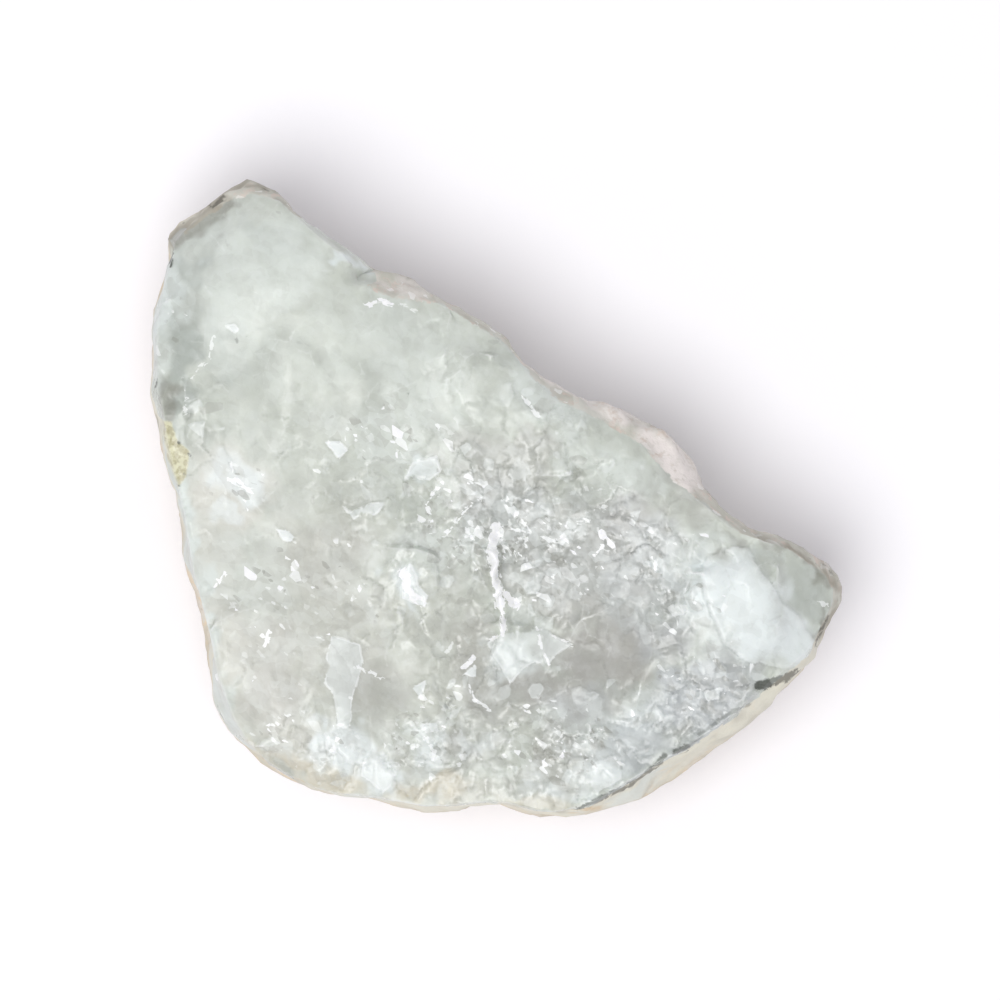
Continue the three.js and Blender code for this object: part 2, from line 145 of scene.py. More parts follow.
# Soft patches of colour and of roughness, each an oval: strength, across, down, half-length,
# half-width, turn.
PATCHES = {
    "calm": [  # the smooth shoulder, where the relief fades
        (1.0, 295, 330, 190, 120, -33), (0.9, 260, 560, 90, 150, 10), (0.8, 375, 690, 50, 60, 0),
        (0.5, 610, 650, 70, 40, 0), (0.6, 470, 400, 70, 50, 0), (0.7, 330, 560, 60, 60, 0),
        (0.8, 750, 610, 60, 60, 30), (0.7, 660, 480, 90, 34, -40), (0.6, 560, 690, 60, 30, 0),
        (0.7, 800, 590, 40, 40, 0), (0.7, 300, 700, 70, 60, 0), (0.6, 590, 590, 40, 26, 0),
    ],
    "pale": [
        (0.8, 237, 285, 42, 62, 0), (0.8, 285, 262, 48, 42, -30), (0.35, 268, 350, 50, 36, 0),
        (0.5, 425, 390, 62, 42, -25), (0.3, 420, 450, 40, 26, 0), (0.3, 335, 345, 40, 40, 0),
        (0.6, 395, 330, 44, 24, -10), (0.25, 375, 575, 42, 30, 0), (0.8, 622, 474, 34, 22, -30),
        (0.4, 255, 575, 40, 44, 0), (0.4, 390, 425, 40, 34, 0), (0.4, 250, 232, 34, 26, -30),
        (0.7, 426, 552, 26, 28, 0), (0.4, 472, 552, 20, 26, 0), (0.5, 576, 452, 26, 20, -30),
        (0.6, 380, 303, 34, 16, 35), (0.5, 425, 345, 30, 24, 35),
    ],
    "warm": [
        (0.8, 228, 495, 40, 40, 0), (0.6, 212, 560, 36, 60, 10), (0.7, 228, 640, 30, 60, 0),
        (0.7, 330, 758, 85, 26, -12), (0.6, 262, 700, 30, 50, 25), (0.6, 450, 790, 75, 16, 0),
        (0.5, 320, 610, 80, 110, 0), (0.3, 430, 640, 60, 80, 0),
    ],
    "smoky": [  # clearer, darker quartz
        (1.0, 612, 650, 62, 38, 10), (0.85, 555, 690, 55, 26, -5), (0.6, 487, 690, 34, 40, 0),
        (0.55, 585, 600, 34, 26, 0), (0.45, 378, 690, 30, 45, 0), (0.55, 478, 645, 24, 34, 0),
        (0.6, 474, 490, 24, 46, -10), (0.55, 548, 522, 30, 18, 20), (0.3, 330, 560, 36, 40, 0),
        (0.6, 522, 472, 36, 34, 0), (0.45, 690, 500, 40, 14, -40), (0.7, 618, 556, 44, 44, 0),
        (0.4, 625, 672, 30, 20, 0), (0.5, 470, 745, 30, 22, 0), (0.5, 560, 760, 40, 30, 0),
        (0.6, 575, 560, 100, 56, -15), (0.9, 632, 530, 46, 38, -20), (0.5, 722, 690, 34, 20, 35),
        (0.6, 480, 470, 34, 36, 0), (0.6, 528, 455, 28, 24, 0), (0.8, 578, 606, 28, 24, 0),
        (0.45, 275, 650, 30, 34, 0), (0.6, 278, 696, 30, 34, 20), (0.6, 676, 700, 28, 26, 30),
    ],
    "cool": [
        (1.0, 690, 700, 70, 36, 35), (0.9, 640, 740, 50, 34, 35), (0.6, 640, 590, 44, 44, 0),
        (0.4, 572, 560, 60, 40, 0), (0.5, 592, 720, 46, 34, 0), (0.6, 660, 630, 34, 34, 0),
        (0.5, 500, 520, 50, 40, 0), (0.4, 620, 530, 60, 30, -30),
    ],
    "green": [
        (1.0, 184, 365, 16, 60, -8), (1.0, 194, 275, 10, 17, 5), (0.6, 797, 590, 26, 34, -35),
        (0.5, 826, 606, 14, 18, 0), (0.5, 760, 558, 18, 14, 0), (0.5, 200, 240, 30, 16, 30),
        (0.6, 270, 240, 30, 10, -40), (0.7, 222, 350, 24, 34, 0),
    ],
    "white": [
        (1.0, 728, 600, 42, 52, 35), (1.0, 775, 640, 40, 24, 0), (0.4, 672, 552, 44, 30, 0),
        (0.35, 540, 400, 40, 24, -30), (0.4, 628, 715, 30, 20, 30), (0.9, 326, 746, 13, 16, 0),
        (0.9, 353, 752, 18, 22, 20), (0.8, 384, 772, 22, 17, -20), (0.7, 428, 748, 15, 24, 0),
        (0.8, 237, 479, 22, 15, -30), (0.6, 226, 513, 14, 9, 0), (0.9, 405, 587, 10, 24, 15),
        (0.8, 424, 470, 20, 13, 20), (0.6, 600, 775, 26, 20, 20), (0.5, 480, 745, 20, 12, 0),
        # The oval at 350 across and 262 down is a painted highlight on the rim's top edge.
        (0.5, 545, 790, 24, 14, 0), (0.6, 512, 655, 24, 22, 0), (0.9, 350, 262, 26, 6, -38),
        (0.9, 806, 646, 12, 16, 0),
    ],
    "frosty": [  # crystal and skin alike
        (0.8, 164, 300, 20, 46, -6), (0.4, 156, 360, 12, 34, 0), (0.6, 178, 262, 12, 18, 0),
        (0.8, 184, 530, 12, 56, 8), (0.8, 206, 620, 13, 56, 5), (0.5, 226, 705, 12, 40, 18),
        (0.6, 362, 794, 34, 7, -10), (0.6, 628, 796, 44, 9, 30),
    ],
    "bare": [  # the crystal reaches down over the rim here
        (1.0, 160, 320, 24, 90, -4), (1.0, 184, 530, 26, 80, 10), (1.0, 205, 620, 26, 70, 5),
        (1.0, 225, 700, 30, 60, 18), (0.6, 265, 765, 30, 20, -30), (1.0, 345, 255, 40, 16, -35),
    ],
    "umber": [
        (0.8, 190, 228, 28, 14, 20), (1.0, 792, 553, 18, 9, -28), (0.8, 171, 408, 9, 20, 0),
        (0.7, 733, 545, 12, 5, -20), (0.9, 826, 572, 28, 7, -45), (0.6, 845, 592, 7, 14, 0),
        (0.9, 224, 195, 34, 8, 38), (1.0, 176, 232, 14, 18, 0), (0.9, 258, 183, 20, 6, -10),
        (0.7, 176, 246, 9, 14, 0), (0.4, 540, 804, 26, 8, 0), (0.45, 284, 773, 38, 12, -28),
        (0.8, 825, 620, 6, 20, -15), (0.6, 770, 545, 14, 7, -28), (0.3, 742, 727, 34, 9, 38),
    ],
    "sugary": [
        (1.0, 320, 775, 50, 9, -20), (0.8, 432, 788, 34, 10, 5), (0.7, 545, 800, 40, 9, 0),
        (0.7, 258, 760, 20, 16, -40),
    ],
    "rosy": [  # the strip of skin on the older break
        (1.0, 674, 460, 42, 20, -42), (0.9, 620, 414, 22, 12, -20), (0.7, 575, 388, 60, 8, -25),
        (0.5, 390, 282, 40, 6, -25),
    ],
    "ochre": [  # on the skin
        (0.6, 592, 806, 22, 7, 0), (0.3, 660, 795, 70, 6, 35), (0.4, 342, 796, 34, 5, -18),
    ],
    "sparkling": [  # nests of glints and small broken grains
        (1.0, 535, 555, 80, 44, -10), (0.9, 480, 520, 56, 46, 0), (0.6, 665, 585, 54, 54, 0),
        (0.45, 610, 545, 60, 40, -20), (0.9, 560, 740, 60, 36, 0), (0.8, 430, 735, 40, 40, 0),
        (0.6, 400, 450, 60, 50, 0), (0.3, 300, 620, 90, 90, 0), (0.6, 300, 740, 60, 30, -15),
        (0.5, 335, 445, 40, 24, 0), (0.5, 235, 485, 26, 20, 0), (0.7, 690, 690, 60, 30, 35),
        (0.35, 170, 310, 18, 70, -5),
    ],
}
PATCH_FADE = 0.45  # how softly a patch ends, as a share of its size
PATCH_SWAY = 2.4  # how far its outline wanders
PATCHES_END = (9.0, 2.5)  # how far over the rim patches fade out, and where that starts
MARK_SWAY = 0.25  # how far a sharp mark's outline wanders
MARKS_END = (4.5, 1.0)  # and how far over the rim the sharp marks fade out
MARK_REACH = 0.9  # a sharp mark is painted this far past its outline
OUTSIDE = -9.0  # what a mark's depth is far from it
BROAD_SWAY = 3.5  # the wavelengths of how outlines wander
FINE_SWAY = 1.3
FINE_SWAY_SHARE = 0.5
WANDER_OFFSETS = Vector((9.3, -1.5, -8.0)), Vector((0, 0, 0)), Vector((6.3, 0.2, -2.7))

# Flakes with sharp outlines: how white each is, how far it stands out, and its corners.
FLAKES = [
    (0.55, 0.22, [(487, 643), (507, 628), (522, 630), (542, 626), (553, 635), (572, 645),
                  (559, 651), (547, 664), (534, 662), (522, 668), (511, 684), (502, 668)]),
    (0.9, 0.25, [(402, 575), (410, 562), (419, 585), (430, 595), (425, 606), (403, 598)]),
    (0.6, 0.12, [(334, 635), (361, 644), (363, 660), (353, 702), (351, 726), (340, 728),
                 (334, 694), (326, 682), (328, 656)]),
    (0.65, 0.25, [(365, 757), (380, 755), (399, 767), (391, 784), (384, 790), (363, 774)]),
    (0.7, 0.25, [(343, 507), (352, 512), (372, 503), (388, 502), (375, 514), (355, 519)]),
    (0.75, 0.25, [(404, 480), (413, 462), (438, 457), (442, 472), (430, 480), (415, 478)]),
    (1.0, 0.2, [(326, 443), (340, 441), (349, 450), (341, 459), (334, 451)]),
    (1.0, 0.2, [(278, 530), (286, 531), (295, 537), (292, 542), (284, 540)]),
    (0.8, 0.1, [(228, 327), (236, 325), (241, 331), (236, 335)]),
    (0.85, 0.2, [(412, 686), (426, 679), (422, 698)]),
    (0.95, 0.2, [(464, 675), (475, 663), (477, 677)]),
    (0.85, 0.2, [(422, 723), (435, 721), (437, 730), (424, 731)]),
    (0.7, 0.2, [(326, 732), (334, 740), (338, 752), (330, 754)]),
    (0.5, 0.25, [(595, 762), (622, 752), (620, 778), (596, 792), (586, 780)]),
    (0.6, 0.2, [(704, 690), (722, 686), (716, 698), (706, 700)]),
    (0.3, 0.4, [(700, 577), (708, 556), (731, 546), (747, 549), (757, 567), (770, 584),
                (780, 603), (799, 617), (806, 630), (816, 642), (818, 655), (804, 665),
                (780, 668), (758, 666), (743, 659), (722, 642), (712, 618)]),
]
STAINS = [[(160, 420), (175, 421), (181, 441), (194, 452), (188, 478), (179, 490), (168, 460)]]

# White lines along crests, partly milky quartz and partly a painted highlight where crests catch
# the light: strength, half-width and places.
WHITE_LINES = [
    (1.0, 5.6, [(496, 527), (493, 546), (494, 562)]), (1.0, 4.2, [(494, 560), (499, 604)]),
    (1.0, 3.0, [(500, 600), (504, 634)]), (1.0, 4.4, [(507, 594), (515, 606)]),
    (0.7, 1.3, [(502, 527), (526, 532), (527, 562)]), (0.8, 1.6, [(512, 538), (518, 560)]),
    (0.9, 5.0, [(404, 573), (408, 590)]), (0.9, 4.5, [(409, 592), (423, 601)]),
    (0.9, 1.6, [(490, 640), (500, 634)]), (0.8, 1.5, [(538, 628), (541, 646), (549, 662)]),
    (0.8, 1.5, [(553, 635), (572, 645)]), (0.6, 3.0, [(505, 501), (519, 519), (530, 532)]),
    (0.6, 1.3, [(563, 541), (567, 522), (597, 519)]),
    (0.45, 1.3, [(597, 519), (596, 534), (614, 543), (612, 552), (590, 546)]),
    (0.6, 1.3, [(593, 511), (607, 503)]), (0.55, 1.4, [(499, 538), (523, 538)]),
    (0.55, 1.4, [(541, 538), (562, 542)]), (0.4, 1.5, [(566, 494), (591, 488), (620, 488)]),
    (0.8, 1.6, [(440, 487), (426, 505), (433, 521)]),
    (0.8, 1.6, [(471, 505), (456, 520), (445, 536)]),
    (0.6, 1.3, [(467, 522), (468, 535), (456, 547)]), (0.9, 1.8, [(462, 670), (474, 657)]),
    (0.8, 2.2, [(470, 684), (475, 698), (489, 707)]), (0.7, 1.5, [(359, 665), (384, 679)]),
    (0.9, 1.8, [(216, 588), (227, 572)]), (0.8, 1.8, [(273, 627), (268, 640), (266, 646)]),
    (0.8, 1.6, [(353, 600), (365, 585)]), (0.6, 1.6, [(443, 654), (456, 640)]),
    (0.9, 2.4, [(366, 304), (380, 301), (392, 305)]), (0.5, 1.5, [(392, 305), (416, 311)]),
    (0.5, 1.6, [(215, 338), (211, 357), (198, 374), (188, 390), (187, 412)]),
    (0.7, 2.4, [(232, 465), (231, 480), (243, 484), (256, 492)]),
    (0.6, 2.0, [(338, 724), (351, 724)]),
    (0.6, 1.5, [(412, 747), (426, 736), (435, 749), (431, 763), (418, 763)]),
    (0.7, 1.8, [(522, 397), (529, 404), (538, 416)]), (0.6, 1.5, [(808, 600), (836, 606)]),
    (0.9, 1.8, [(594, 553), (603, 546)]), (0.8, 2.0, [(652, 557), (656, 570)]),
]

# Dark seams and specks: strength, half-width and places.
DARK_LINES = [
    (0.95, 6.0, [(758, 685), (768, 684)]), (0.7, 4.5, [(770, 682), (786, 678), (799, 671)]),
    (0.7, 3.2, [(829, 616), (822, 630), (818, 646)]), (0.85, 4.0, [(674, 750), (688, 744)]),
    (0.7, 3.2, [(664, 755), (657, 764), (645, 774), (633, 781), (617, 789), (598, 798),
                (580, 806)]),
    (0.4, 3.2, [(749, 703), (722, 714), (709, 724), (695, 737), (685, 746)]),
    (0.6, 1.8, [(808, 556), (824, 565), (838, 576), (844, 588)]),
    (1.0, 3.4, [(172, 249), (172, 266)]), (0.9, 2.6, [(157, 378), (157, 387)]),
    (0.7, 2.4, [(168, 236), (174, 224)]), (0.6, 2.0, [(178, 222), (196, 213), (212, 202)]),
    (0.7, 3.4, [(213, 206), (224, 198)]), (0.5, 3.0, [(262, 186), (268, 190)]),
    (0.5, 1.8, [(236, 338), (239, 343)]), (0.85, 2.0, [(179, 443), (181, 444)]),
    (0.85, 2.2, [(191, 455), (192, 456)]), (0.85, 2.0, [(186, 473), (187, 475)]),
    (0.9, 2.2, [(178, 485), (180, 486)]), (0.4, 3.4, [(452, 697), (447, 704)]),
    (0.3, 1.8, [(452, 446), (470, 462), (474, 482)]),
]


def steps(value, none, full):
    """0 up to none and 1 from full on, with a smooth rise between; full may be the lower."""
    share = min(max((value - none) / (full - none), 0), 1)
    return share * share * (3 - 2 * share)


def wander(place):
    """A smooth chance vector at a place, the same in each run."""
    return Vector([noise.noise(place + offset) for offset in WANDER_OFFSETS])


def seen_at(across, down):
    """The place on the stone that is seen at a place in the view."""
    middle = VIEW_STEPS / 2
    from_middle = Vector((across - middle, middle - down)) * VIEW_STEP
    return (Matrix.Rotation(math.radians(VIEW_TURN), 2) @ from_middle
            + Vector(VIEW_MIDDLE[:2]))


def bearing_reader(known):
    """A function that reads a value at a bearing, from pairs of bearing and value."""
    known = sorted(known)
    known = ([(known[-1][0] - math.tau, known[-1][1])] + known
             + [(known[0][0] + math.tau, known[0][1])])
    bearings = [bearing for bearing, _ in known]

    def read(bearing):
        after = min(max(bisect.bisect(bearings, bearing), 1), len(known) - 1)
        (a, at_a), (b, at_b) = known[after - 1], known[after]
        return at_a + (at_b - at_a) * (bearing - a) / max(b - a, TINY)

    return read


def rim_line(corners):
    """Bearings and distances from the middle along a closed line."""
    for (ax, ay), (bx, by) in zip(corners, corners[1:] + corners[:1]):
        for part in range(RIM_PIECES):
            x, y = ax + (bx - ax) * part / RIM_PIECES, ay + (by - ay) * part / RIM_PIECES
            yield math.atan2(y, x), math.hypot(x, y)


def rim_heights(corners):
    """The rim's height in each sector: that of the highest of the solid's corners near it."""
    heights = {}
    for corner in corners:
        bearing = math.atan2(corner.y, corner.x)
        off_rim = abs(math.hypot(corner.x, corner.y) - rim_radius(bearing))
        if off_rim < RIM_NEAR and corner.z > BREAK_LOWEST:
            heights.setdefault(round(bearing / RIM_SECTOR), []).append(corner.z)
    return [(part * RIM_SECTOR, max(levels)) for part, levels in heights.items()]


def past_rim(vertex):
    """How far outside or below the fresh break's rim a vertex is, and less than 0 on it."""
    place = vertex.co / MM
    bearing = math.atan2(place.y, place.x)
    outside = math.hypot(place.x, place.y) - rim_radius(bearing)
    if outside > -RIM_BAND or place.z < BREAK_LOWEST:
        steep = steps(vertex.normal.z, *STEEP)
        return max(outside, (rim_height(bearing) - place.z) * steep - RIM_BAND)
    return outside


def old_break(place):
    """1 on the straight side, where an older break is, and 0 on the round skin."""
    return steps(math.sin(math.atan2(place.y, place.x)), *OLD_BREAK)


def oval_reader(across, down, half_length, half_width, turn):
    """A function that reads how much a soft oval covers a place, from 0 to 1."""
    middle = seen_at(across, down)
    back = Matrix.Rotation(-math.radians(turn + VIEW_TURN), 2)
    length, width = half_length * VIEW_STEP, half_width * VIEW_STEP

    def share(place):
        offset = back @ (place - middle)
        away = math.hypot(offset.x / length, offset.y / width)
        return steps(1 + PATCH_FADE - away, 0, 2 * PATCH_FADE)

    return share


def calm(place):
    """How smooth the fresh break is: 1 on the shoulder, 0 in the rough middle."""
    return max(strength * share(place) for strength, share in calm_ovals)


def gap(place, start, end):
    """How far a place is from a straight line's nearest point."""
    run = end - start
    share = min(max((place - start).dot(run) / run.length_squared, 0), 1)
    return (place - start - run * share).length


def depth(place, corners):
    """How deep inside a closed outline a place is, and less than 0 outside."""
    inside, nearest = False, math.inf
    for start, end in zip(corners, corners[1:] + corners[:1]):
        nearest = min(nearest, gap(place, start, end))
        if (start.y > place.y) != (end.y > place.y):
            crossing = start.x + (end.x - start.x) * (place.y - start.y) / (end.y - start.y)
            inside = inside != (place.x < crossing)
    return nearest if inside else -nearest


def refine(stone, longest, wanted):
    """Splits the edges that are longer than this, where both ends are wanted."""
    for _ in range(SPLITS):
        long_edges = [edge for edge in stone.edges
                      if edge.calc_length() > longest * MM and all(map(wanted, edge.verts))]
        if not long_edges:
            return
        bmesh.ops.subdivide_edges(stone, edges=long_edges, cuts=1)
        bmesh.ops.triangulate(stone, faces=[face for face in stone.faces if len(face.verts) > 3])


class Marks:
    """Where the break's marks lie: each is painted on the vertices near it."""

    def __init__(self, stone, layer):
        self.layer = layer
        self.vertices = [vertex for vertex in stone.verts
                         if past_rim(vertex) < PATCHES_END[0]]
        self.tree = kdtree.KDTree(len(self.vertices))
        self.places = []
        self.swayed = []
        for index, vertex in enumerate(self.vertices):
            place = vertex.co / MM
            vertex[layer["past_rim"]] = past_rim(vertex)
            sway = wander(place / BROAD_SWAY) + FINE_SWAY_SHARE * wander(place / FINE_SWAY)
            self.places.append((place + sway * MARK_SWAY).xy)
            self.swayed.append((place + sway * PATCH_SWAY).xy)
            self.tree.insert((place.x, place.y, 0), index)
            for name in ("flake", "stain", "white_line", "dark_line"):
                vertex[layer[name]] = OUTSIDE
        self.tree.balance()

    def near(self, middle, reach, fade=MARKS_END):
        """The vertices within reach: each with its places as sharp marks and as patches see
        them, and how much of the mark is left there."""
        for _, index, _ in self.tree.find_range((*middle, 0), reach):
            vertex = self.vertices[index]
            left = steps(vertex[self.layer["past_rim"]], *fade)
            if left > 0:
                yield vertex, self.places[index], self.swayed[index], left

    def patch(self, name, strength, across, down, half_length, half_width, turn):
        """Paints a soft oval."""
        share = oval_reader(across, down, half_length, half_width, turn)
        reach = (1 + PATCH_FADE) * max(half_length, half_width) * VIEW_STEP + 2 * PATCH_SWAY
        for vertex, _, place, left in self.near(seen_at(across, down), reach, PATCHES_END):
            painted = strength * share(place) * left
            vertex[self.layer[name]] = max(vertex[self.layer[name]], painted)

    def outline(self, name, corners):
        """Paints how deep a closed outline is. Lists the vertices that it is the nearest to,
        each with its place from the outline's middle and its depth."""
        middle = sum(corners, Vector((0, 0))) / len(corners)
        size = max((corner - middle).length for corner in corners)
        painted = []
        for vertex, place, _, _ in self.near(middle, size + MARK_REACH):
            deep = depth(place, corners)
            if deep > -MARK_REACH and deep > vertex[self.layer[name]]:
                vertex[self.layer[name]] = deep
                painted.append((vertex, place - middle, deep))
        return painted

    def line(self, name, strength, half_width, places):
        """Paints how deep a line of some width is, and how strong."""
        for start, end in zip(places, places[1:]):
            reach = (end - start).length / 2 + half_width + MARK_REACH
            for vertex, place, _, left in self.near((start + end) / 2, reach):
                deep = half_width * left - gap(place, start, end)
                if deep > vertex[self.layer[name]]:
                    vertex[self.layer[name]] = deep
                    vertex[self.layer[name + "_strength"]] = strength


def strewn_flakes():
    """Small flakes in chance places: tone, rise, corners and slope."""
    chance = random.Random(STREWN["seed"])
    reach = max(math.hypot(*corner) for corner in RIM)
    uneven = STREWN["uneven"]
    made = 0
    while made < STREWN["count"]:
        middle = Vector((chance.uniform(-reach, reach), chance.uniform(-reach, reach)))
        inside = rim_radius(math.atan2(middle.y, middle.x)) - middle.length
        if (inside < STREWN["inside_rim"]
                or chance.random() < STREWN["avoids_calm"] * calm(middle)):
            continue
        half_length = chance.uniform(*STREWN["half_length"]) ** STREWN["skew"]
        half_width = half_length * chance.uniform(*STREWN["narrow"])
        turn = Matrix.Rotation(chance.uniform(0, math.tau), 2)
        count = chance.randint(*STREWN["corners"])
        start = chance.uniform(0, math.tau)
        bearings = [start + math.tau * (part + chance.uniform(-uneven, uneven)) / count
                    for part in range(count)]
        corners = [middle + turn @ Vector((half_length * math.cos(bearing),
                                           half_width * math.sin(bearing)))
                   for bearing in bearings]
        slope = Vector((STREWN["slope"] * chance.random(), 0))
        slope.rotate(Matrix.Rotation(chance.uniform(0, math.tau), 2))
        tone = chance.uniform(*STREWN["tone"])
        yield tone, chance.uniform(*STREWN["rise"]), corners, slope
        made += 1


def plates(place):
    """The rise of the break's plates, tilted and sharp at their edges."""
    rise = 0
    for wavelength, count, height in PLATES:
        level = count * noise.noise(place / wavelength)
        share = level - math.floor(level)
        rise += height * (steps(share, 1 - RISER, 1) - share + 0.5)
    return rise


def chance_vector(place):
    """A vector with parts from -1 to 1 that jumps from one cell of space to the next."""
    return noise.cell_vector(place) * 2 - Vector((1, 1, 1))


def facets(place):
    """The rise of the break's facets, each a plane that leans its own way."""
    rise = 0
    for size, slope in FACETS:
        bent = place / size + FACET_BEND * wander(place * 2 / size)
        middle = noise.voronoi(bent)[1][0]
        lean = chance_vector(middle * LEAN_SPREAD)
        rise += slope * size * (bent - middle).xy.dot(lean.xy)
    return rise


def soften(stone, layer):
    """Keeps how sharp the solid's facets are for the finish, and rounds them off."""
    for vertex in stone.verts:
        turns = [edge.calc_face_angle_signed(0) for edge in vertex.link_edges]
        vertex[layer["edge"]] = sum(turns) / len(turns)
    inner = [vertex for vertex in stone.verts if past_rim(vertex) < -RIM_BAND]
    smooth = [vertex for vertex in inner if calm((vertex.co / MM).xy) > CALM_FROM]
    for vertices, rounds in ((inner, SOFTENING), (smooth, CALM_SOFTENING)):
        for _ in range(rounds):
            bmesh.ops.smooth_vert(stone, verts=vertices, factor=0.5,
                                  use_axis_x=True, use_axis_y=True, use_axis_z=True)


def draw_marks(stone, layer):
    """Paints the sharp marks, and gives how far each vertex of a flake is raised."""
    marks = Marks(stone, layer)
    raised = {}
    named = [(tone, rise, [seen_at(*corner) for corner in corners], Vector((0, 0)))
             for tone, rise, corners in FLAKES]
    for tone, rise, corners, slope in [*named, *strewn_flakes()]:
        for vertex, offset, deep in marks.outline("flake", corners):
            vertex[layer["flake_tone"]] = tone
            raised[vertex] = (rise + offset.dot(slope)) * steps(deep, *FLAKE_CLIFF)
    for corners in STAINS:
        marks.outline("stain", [seen_at(*corner) for corner in corners])
    for name, lines in (("white_line", WHITE_LINES), ("dark_line", DARK_LINES)):
        for strength, half_width, places in lines:
            marks.line(name, strength, half_width * VIEW_STEP,
                       [seen_at(*place) for place in places])
    return marks, raised


def side_lift(vertex, place, outside, old):
    """How far the skin's lumps or the older break's chips move a vertex."""
    skin = sum(rise * noise.noise(place / wavelength) for wavelength, rise in SKIN_LUMPS)
    wall = sum(rise * noise.variable_lacunarity(place / wavelength, WALL_LACUNARITY)
               for wavelength, rise in WALL_CHIPS)
    strength = steps(outside, *SKIN_START) * steps(place.z, *FOOT_START)
    return vertex.normal * (skin + (wall - skin) * old) * strength


def dressed_stone():
    """The stone as a fine mesh: its solid's shape with a broken crystal face and rough skin."""
    stone = bmesh.new()
    stone.from_mesh(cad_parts[STONE].data)
    bmesh.ops.remove_doubles(stone, verts=stone.verts, dist=WELD * MM)
    layer = {name: stone.verts.layers.float.new(name) for name in (
        "past_rim", "old_break", "edge", "crushed", "flake", "flake_tone", "stain",
        "white_line", "white_line_strength", "dark_line", "dark_line_strength", *PATCHES)}

    def on_break(vertex):
        return past_rim(vertex) < BREAK_END

    def marked(vertex):
        return on_break(vertex) and (vertex[layer["white_line"]] > -MARK_BAND
                                     or vertex[layer["dark_line"]] > -MARK_BAND)

    refine(stone, SIDE_EDGE, lambda vertex: True)
    refine(stone, GRAIN_EDGE, on_break)
    soften(stone, layer)
    refine(stone, CHIP_EDGE, on_break)
    draw_marks(stone, layer)
    refine(stone, MARK_EDGE, marked)
    marks, raised = draw_marks(stone, layer)
    for name, spots in PATCHES.items():
        for spot in spots:
            marks.patch(name, *spot)
    stone.normal_update()

    for vertex in stone.verts:
        place = vertex.co / MM
        vertex[layer["past_rim"]] = outside = past_rim(vertex)
        vertex[layer["old_break"]] = old = old_break(place)
        if outside > BREAK_END:
            vertex.co += side_lift(vertex, place, outside, old) * MM
            continue
        rough = (1 - CALM_SHARE * vertex[layer["calm"]]) * steps(-outside, *RELIEF_START)
        flat = Vector((place.x, place.y, 0))
        lift = (plates(flat) + facets(flat)) * rough + raised.get(vertex, 0)
        crushed = rough * steps(noise.noise(flat / CRUSHED["wavelength"])
                                + CRUSHED["sparkling"] * vertex[layer["sparkling"]],
                                *CRUSHED["start"])
        vertex[layer["crushed"]] = crushed
        shift = chance_vector(place * CRUSHED["spread"])
        vertex.co += (Vector((0, 0, lift)) + shift * CRUSHED["uneven"] * crushed) * MM
    for vertex in stone.verts:
        vertex.co.z = max(vertex.co.z, 0)

    for face in stone.faces:
        face.smooth = True
    return stone


# ---- Finishes ----


def seen(red, green, blue):
    """A colour as it looks, in parts up to 255, turned into the light that it gives back."""
    return tuple(
        (value / 12.92 if value <= 0.04045 else ((value + 0.055) / 1.055) ** 2.4)
        for value in (red / 255, green / 255, blue / 255))


# The fresh break.
CLOUDY = seen(192, 197, 187), seen(207, 212, 201)
TINTS = {
    "smoky": seen(168, 166, 160),
    "cool": seen(176, 181, 182),
    "green": seen(174, 181, 173),
    "warm": seen(212, 210, 200),
    "pale": seen(222, 228, 221),
    "umber": seen(138, 137, 124),
    "frosty": seen(220, 228, 224),
    "white": seen(231, 238, 237),
    "sugary": seen(206, 200, 180),
}
# A painted highlight: the white of glints, of flake edges and crests, and of glints on the older
# break.
PAINTED_GLINT = seen(251, 253, 251)
MILKY = seen(229, 234, 231)
WINDOW = seen(160, 160, 152)
CURD = seen(228, 232, 228)
CLEAR = seen(164, 165, 157)
POWDER = seen(236, 240, 237)
# A painted highlight on the solid's sharp edges, and painted shade in its creases.
EDGE_HIGHLIGHT = seen(244, 246, 244)
CREASE_SHADE = seen(160, 162, 155)
# Painted shade in small pits, beside the painted glints.
PIT_SHADE = seen(146, 146, 136)
STAINED = seen(184, 177, 138), seen(220, 217, 184)
SEAM = seen(86, 90, 82)

# The skin.
BUFF = seen(226, 218, 204), seen(208, 200, 178)
PEACH = seen(230, 210, 178)
BROWN = seen(176, 162, 138)
TAN = seen(180, 163, 136)
CREAM = seen(228, 226, 210)
OCHRE = seen(216, 184, 138)
UMBER = seen(160, 154, 138)
SKIN_SEAM = seen(74, 72, 62)

# The older break.
GREY = seen(212, 211, 200), seen(197, 196, 183)
PINK = seen(218, 202, 190)
RUST = seen(196, 172, 140)
LIGHT_FACE = seen(226, 226, 220)
DARK_FACE = seen(160, 154, 140)
ROSY = seen(238, 231, 225)

# Angular cells: their size and turn, and of the glints, which are painted highlights, the share of
# cells that glint.
FACET_CELLS = [(3.0, 0.4), (1.3, -0.7)]
FACET_STRETCH = 1.3
GLINT_CELLS = [(0.5, 0.5, 0.08), (0.9, -0.8, 0.13), (1.5, 1.9, 0.11)]
GLINT_STRETCH = 1.7
PIT_SHADE_SHARE = 0.6  # how many cells get painted pit shade, for each painted glint

QUARTZ_IOR = 1.544
SCATTER = 1.2  # how far light scatters inside the quartz
SCATTER_COLOUR = (1.0, 1.0, 0.95)
SCATTER_WEIGHT = 0.8
SKIN_IOR = 1.5
SKIN_ROUGHNESS = 0.7
SKIN_BUMP = 0.22  # the depth of its pores
SKIN_BUMP_STRENGTH = 0.5

MIDDLE = 0.5  # noise and chances lie evenly round it
MIDDLE_COLOUR = (MIDDLE, MIDDLE, MIDDLE)
TEAR = (0.8, 0.8, 0.8)  # how far ragged outlines are torn
MIX_SHARE, MIX_UNDER, MIX_OVER, MIX_COLOUR = 0, 6, 7, 2  # a Mix node's sockets for colours
ATTRIBUTE_VALUE = 2  # an Attribute node's output that is one value


